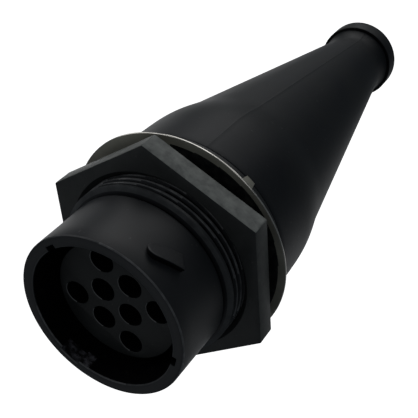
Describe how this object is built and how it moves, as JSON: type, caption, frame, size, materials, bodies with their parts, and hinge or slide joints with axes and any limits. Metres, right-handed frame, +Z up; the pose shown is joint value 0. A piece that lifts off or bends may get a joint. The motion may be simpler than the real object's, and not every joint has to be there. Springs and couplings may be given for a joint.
{
  "type": "bayonet panel receptacle connector",
  "caption": "Panel-mount bayonet circular connector receptacle with socket contacts, hexagonal panel nut, lock washer and a long conical cable boot.",
  "frame": {"origin": "on the connector's axis, in the plane of the flange face that seats against the panel", "axes": "+Y along the connector's axis towards the cable, -Y out of the mating face, -Z towards the master keyway, +Z up"},
  "size_m": [0.0474, 0.1194, 0.045],
  "materials": {
    "shell_plastic": "satin black moulded thermoplastic",
    "insert_plastic": "matte black moulded thermoplastic",
    "rear_plastic": "matte dark moulded thermoplastic",
    "wire_seal_rubber": "matte soft silicone rubber",
    "seal_rubber": "matte black rubber",
    "nut_plastic": "matte black, slightly mottled",
    "washer_steel": "dull plated sheet steel",
    "boot_rubber": "satin black moulded rubber",
    "contact_brass": "plated machined contact",
    "clip_steel": "thin spring steel"
  },
  "bodies": {
    "receptacle": {"shell": "shell_plastic", "front_insert": "insert_plastic", "rear_insert": "rear_plastic", "wire_seal": "wire_seal_rubber", "rear_retainer": "rear_plastic", "coupling_seal": "seal_rubber", "panel_seal": "seal_rubber", "contact_1": "contact_brass", "contact_2": "contact_brass", "contact_3": "contact_brass", "contact_4": "contact_brass", "contact_5": "contact_brass", "contact_6": "contact_brass", "contact_7": "contact_brass", "contact_8": "contact_brass", "contact_clip_1": "clip_steel", "contact_clip_2": "clip_steel", "contact_clip_3": "clip_steel", "contact_clip_4": "clip_steel", "contact_clip_5": "clip_steel", "contact_clip_6": "clip_steel", "contact_clip_7": "clip_steel", "contact_clip_8": "clip_steel"},
    "nut": {"panel_nut": "nut_plastic"},
    "washer": {"lock_washer": "washer_steel"},
    "boot": {"cable_boot": "boot_rubber"}
  },
  "joints": [
    {"name": "nut_turn", "type": "hinge", "parent": "receptacle", "child": "nut", "pos_m": [0, 0, 0], "axis": [0, 1, 0], "range_deg": [-2040, 600]},
    {"name": "washer_slide", "type": "slide", "parent": "receptacle", "child": "washer", "axis": [0, -1, 0], "range_m": [0, 0.0022]},
    {"name": "boot_slide", "type": "slide", "parent": "receptacle", "child": "boot", "axis": [0, 1, 0], "range_m": [0, 0.016]}
  ]
}
